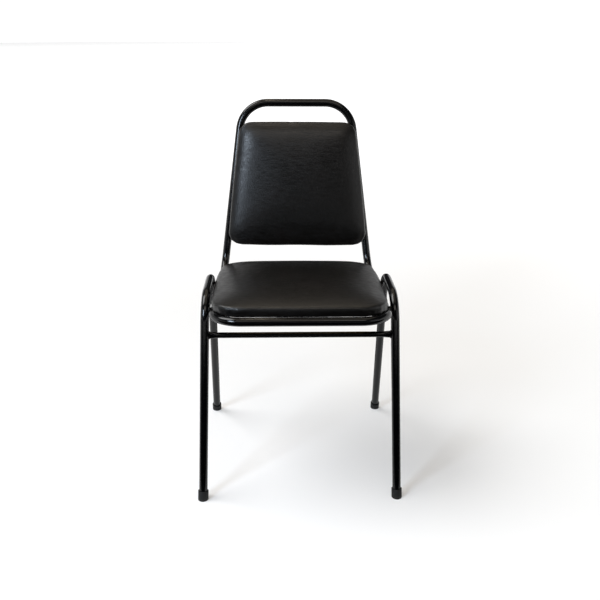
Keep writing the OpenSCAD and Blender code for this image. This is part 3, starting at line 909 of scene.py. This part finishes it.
def weld(name, places, size):
    drops = []
    for place in places:
        bpy.ops.mesh.primitive_uv_sphere_add(segments=12, ring_count=8, radius=size * MM, location=place)
        drops.append(bpy.context.object)
    bead = join(drops, name)
    modify(bead, "REMESH", mode="VOXEL", voxel_size=0.6 * MM)
    modify(bead, "SMOOTH", factor=0.5, iterations=2)
    bpy.ops.object.shade_smooth()
    return dress(bead, enamel, "frame_enamel")


def row(start, end, pitch=1.7):
    steps = max(1, round((end - start).length / (pitch * MM)))
    return [start.lerp(end, k / steps) for k in range(steps + 1)]


def rail_height(y):
    return RAIL_Z - (y - RAIL_Y) * math.tan(SLOPE)


def crossing(lean_tan, foot_y, sign):
    """Where the rail crosses a leg, seen from the side. The leg may already be in its bend."""
    angle = math.atan(lean_tan)
    bend_z = ARCH_Z - ARCH_R * math.tan((math.pi / 2 - angle) / 2) * math.cos(angle)
    z = RAIL_Z - 10
    for _ in range(20):
        drift = max(0, z - bend_z) ** 2 / (2 * ARCH_R)
        y = foot_y + sign * (z * lean_tan + drift)
        z = rail_height(y)
    return y, z


def tab_middle(tab, plane):
    """How far along its plane a tab's middle lies, in millimetres."""
    low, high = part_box(tab)
    return (plane.inverted() @ ((Vector(low) + Vector(high)) / 2)).y


post_run = (HOOP_HALF - TOP_HALF) / POST_LEN
for side, word in ((1, "left"), (-1, "right")):
    crossings = {"front": crossing(FRONT_LEAN, 0, 1), "rear": crossing(REAR_LEAN, FOOT_DEPTH, -1)}
    for end, (y, z) in crossings.items():
        ring = []
        for k in range(RING_DROPS):
            t = 2 * math.pi * k / RING_DROPS
            ring.append(at(side * (HOOP_HALF + TUBE_D / 2), y + RING_R * math.cos(t),
                           z + RING_R * math.sin(t)))
        weld(f"weld_rail_{end}_{word}", ring, RING_DROP_R)

    leg_at = front_leg(side, BAR_Z)
    mouth = leg_at.x - side * (TUBE_D / 2 + BAR_WELD_OUT) * MM
    flank, cap_z = BAR_FLAT / 2, (BAR_TALL - BAR_FLAT) / 2
    ends = []
    for sign in (1, -1):
        ends += row(Vector((mouth, leg_at.y + sign * flank * MM, leg_at.z - cap_z * MM)),
                    Vector((mouth, leg_at.y + sign * flank * MM, leg_at.z + cap_z * MM)))
        for k in range(1, 6):
            t = math.pi * k / 6
            rounding = sign * MM * (cap_z + flank * math.sin(t))
            ends.append(Vector((mouth, leg_at.y + flank * MM * math.cos(t), leg_at.z + rounding)))
    weld(f"weld_bar_{word}", ends, DROP_R)

    for end in ("front", "rear"):
        middle_y = tab_middle(f"seat_tab_{end}_{word}", seat_plane)
        edge = [seat_plane @ Vector((side * (HOOP_HALF + SEAT_TAB_OUT), y, TUBE_D / 2 + SEAT_TAB_UP))
                for y in (middle_y - TAB_HALF, middle_y + TAB_HALF)]
        weld(f"weld_seat_tab_{end}_{word}", row(*edge), DROP_R)
    for end in ("lower", "upper"):
        middle_y = tab_middle(f"back_tab_{end}_{word}", back_plane)
        edge = [back_plane @ Vector((side * (HOOP_HALF - y * post_run - BACK_TAB_IN), y, BACK_TAB_UP))
                for y in (middle_y - TAB_HALF, middle_y + TAB_HALF)]
        weld(f"weld_back_tab_{end}_{word}", row(*edge), DROP_R)

# %% [markdown]
# The nodes that already have the right shape only get their finish.

# %% Finishing the plain nodes
for name in nodes:
    if "_tab_" in name:
        finish_node(name, enamel)
    elif name.endswith("board"):
        finish_node(name, plywood)
    elif name.endswith(("screws", "nuts")):
        finish_node(name, zinc)

# %% [markdown]
# The chair stands on a plain pale floor that runs out to a round wall, tall behind the chair and
# low behind the camera, so that the front of the glossy parts stays dark. Rays from the camera,
# gloss and glass see both a little brighter than the lamps make them, so the background is white
# and the floor still takes the chair's shadow.

# %% Floor and backdrop
FLOOR_R, WALL_TOP, WALL_LOW = 30.0, 15.0, 1.6
FLOOR_PAINT, WALL_PAINT = 0.65, 0.60
FLOOR_LIFT, FLOOR_LIFT_BAND = (0.30, 0.85), (0.45, 4.5)
WALL_LIFT, WALL_LIFT_BAND = (1.0, 0.5), (2.0, 6.0)
OPEN_RIGHT, OPEN_LEFT, CAMERA_SIDE = (8, 19), (4, 12), (85, 130)


def pale_stage(name, albedo, lifts, reading, band):
    """Pale paint that camera, gloss and glass see lifted, from one amount to another over a band."""
    material, tree = new_material(name)
    path = add(tree, "ShaderNodeLightPath").outputs
    seen = path["Is Camera Ray"]
    for other in ("Is Glossy Ray", "Is Transmission Ray"):
        seen = add(tree, "ShaderNodeMath", {0: seen, 1: path[other]}, operation="MAXIMUM").outputs["Value"]
    place = add(tree, "ShaderNodeTexCoord").outputs["Object"]
    if reading == "distance":
        read = add(tree, "ShaderNodeVectorMath", {0: place}, operation="LENGTH").outputs["Value"]
    else:
        read = add(tree, "ShaderNodeSeparateXYZ", {"Vector": place}).outputs["Z"]
    lift = add(tree, "ShaderNodeMapRange", {"Value": read, "From Min": band[0], "From Max": band[1],
                                            "To Min": lifts[0], "To Max": lifts[1]},
               interpolation_type="SMOOTHSTEP")
    strength = product(tree, seen, lift.outputs["Result"])
    glow = add(tree, "ShaderNodeEmission", {"Color": colour("#ffffff"), "Strength": strength})
    paint = add(tree, "ShaderNodeBsdfDiffuse", {"Color": (albedo, albedo, albedo, 1)})
    both = add(tree, "ShaderNodeAddShader", {0: paint.outputs["BSDF"], 1: glow.outputs["Emission"]})
    add(tree, "ShaderNodeOutputMaterial", {"Surface": both.outputs["Shader"]})
    return material


def wall_height(away):
    """The wall's height at an angle from straight behind the chair, in degrees, left negative."""
    open_gap = float(ease(away, *OPEN_RIGHT) if away > 0 else ease(-away, *OPEN_LEFT))
    behind_camera = float(ease(abs(away), *CAMERA_SIDE))
    return WALL_LOW + (WALL_TOP - WALL_LOW) * open_gap * (1 - behind_camera)


bpy.ops.object.select_all(action="DESELECT")
bpy.ops.mesh.primitive_circle_add(vertices=128, radius=FLOOR_R, fill_type="NGON")
floor = settle("studio_floor")
floor.data.materials.append(pale_stage("pale_floor", FLOOR_PAINT, FLOOR_LIFT, "distance", FLOOR_LIFT_BAND))
bpy.ops.object.select_all(action="DESELECT")
bpy.ops.mesh.primitive_cylinder_add(vertices=256, radius=FLOOR_R, depth=WALL_TOP, end_fill_type="NOTHING",
                                    location=(0, 0, WALL_TOP / 2))
wall = settle("studio_wall")
for corner in wall.data.vertices:
    if corner.co.z > WALL_TOP / 2:
        corner.co.z = wall_height(math.degrees(math.atan2(corner.co.x, corner.co.y)))
wall.data.materials.append(pale_stage("pale_wall", WALL_PAINT, WALL_LIFT, "height", WALL_LIFT_BAND))

# %% [markdown]
# Studios keep black gloss dark with black flags. A wide one lies on the floor in front, and a
# narrow one runs back behind the chair and stands up at its far end, so that the rear of the seat
# is dark between its bright sides. They are seen by reflections alone, so they show in no
# view and shade nothing.

# %% Black flags
FLAG_Z, REAR_FLAG_TOP = 0.004, 2.2
FRONT_FLAG = [(-12.0, -26.0, FLAG_Z), (12.0, -26.0, FLAG_Z), (-12.0, -0.30, FLAG_Z), (12.0, -0.30, FLAG_Z)]
REAR_FLAG = [(-0.22, 0.30, FLAG_Z), (0.50, 0.30, FLAG_Z), (-3.6, 28.0, FLAG_Z), (7.0, 28.0, FLAG_Z)]
UPRIGHT_FLAG = [(-3.6, 28.0, FLAG_Z), (7.0, 28.0, FLAG_Z), (-3.6, 28.0, REAR_FLAG_TOP),
                (7.0, 28.0, REAR_FLAG_TOP)]


def flat_panel(name, places):
    """A panel with corners at these places: the near or low two first, each pair from the left."""
    bpy.ops.object.select_all(action="DESELECT")
    bpy.ops.mesh.primitive_plane_add(size=1)
    panel = settle(name)
    for corner, place in zip(panel.data.vertices, places):
        corner.co = place
    return panel


flag = join([flat_panel("front_flag", FRONT_FLAG), flat_panel("rear_flag", REAR_FLAG),
             flat_panel("upright_flag", UPRIGHT_FLAG)], "black_flag")
velvet, tree = new_material("black_velvet")
cloth = add(tree, "ShaderNodeBsdfDiffuse", {"Color": colour("#050505")})
add(tree, "ShaderNodeOutputMaterial", {"Surface": cloth.outputs["BSDF"]})
flag.data.materials.append(velvet)
flag.visible_camera = False
flag.visible_diffuse = False
flag.visible_transmission = False
flag.visible_shadow = False
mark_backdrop(floor, wall, flag)

# %% [markdown]
# A wide soft sun from the upper left lights the floor evenly and throws the soft shadow to the
# right. The rest is what the gloss sees: a pale ceiling with a small warm lamp, a long box over
# the camera for the sheen on the pads' upper edges, a small bright window at the front left for
# the cool sheen on the back and the streaks on the tubes, and a dim box at the right.

# %% Lamps
SUN_WAY = Vector((0.70, -0.08, -1.0))
BACK_MIDDLE = (0, 0.22, 0.65)


def soft_box(name, place, target, size, radiance, tint="#ffffff"):
    """An area lamp as bright as this, seen from the front, where 1 is white paper in full light."""
    bpy.ops.object.light_add(type="AREA", location=place)
    lamp = bpy.context.object
    lamp.name = name
    lamp.rotation_euler = (Vector(target) - Vector(place)).to_track_quat("-Z", "Y").to_euler()
    lamp.data.shape = "RECTANGLE"
    lamp.data.size, lamp.data.size_y = size
    lamp.data.energy = radiance * math.pi * size[0] * size[1]
    lamp.data.color = colour(tint)[:3]


bpy.ops.object.light_add(type="SUN")
sun = bpy.context.object
sun.name = "wide_sun"
sun.rotation_euler = SUN_WAY.to_track_quat("-Z", "Y").to_euler()
sun.data.energy = 2.15
sun.data.angle = math.radians(36)

soft_box("ceiling_box", (0.0, 0.7, 2.7), (0, 0.7, 0), (2.6, 3.6), 0.7, "#fff2dc")
soft_box("front_box", (0.0, -2.2, 2.75), BACK_MIDDLE, (2.4, 0.9), 2.2, "#fff6ec")
soft_box("ceiling_lamp", (-0.15, 0.30, 2.35), (-0.15, 0.30, 0), (0.14, 0.5), 9.0, "#fff0d8")
soft_box("window_box", (-1.75, -2.05, 1.75), BACK_MIDDLE, (0.75, 0.9), 26.0, "#deedff")
soft_box("right_box", (1.9, -1.5, 1.2), BACK_MIDDLE, (1.3, 1.0), 0.8)

world = bpy.data.worlds.new("studio_air")
bpy.context.scene.world = world
world.use_nodes = True
world.node_tree.nodes.clear()
air = add(world.node_tree, "ShaderNodeBackground", {"Color": colour("#eef2f8"), "Strength": 0.06})
add(world.node_tree, "ShaderNodeOutputWorld", {"Surface": air.outputs["Background"]})
bpy.context.scene.view_settings.view_transform = "Standard"

# %% [markdown]
# Last, how far each corner of the dressed chair's box lies from the frame's box is printed, to
# compare their sizes.

# %% Sizes and finish
visual_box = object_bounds()
for word, low, high in (("low", cad_box[0], visual_box[0]), ("high", cad_box[1], visual_box[1])):
    print(word, "corner moved by", [round((b - a) / MM, 1) for a, b in zip(low, high)], "mm")
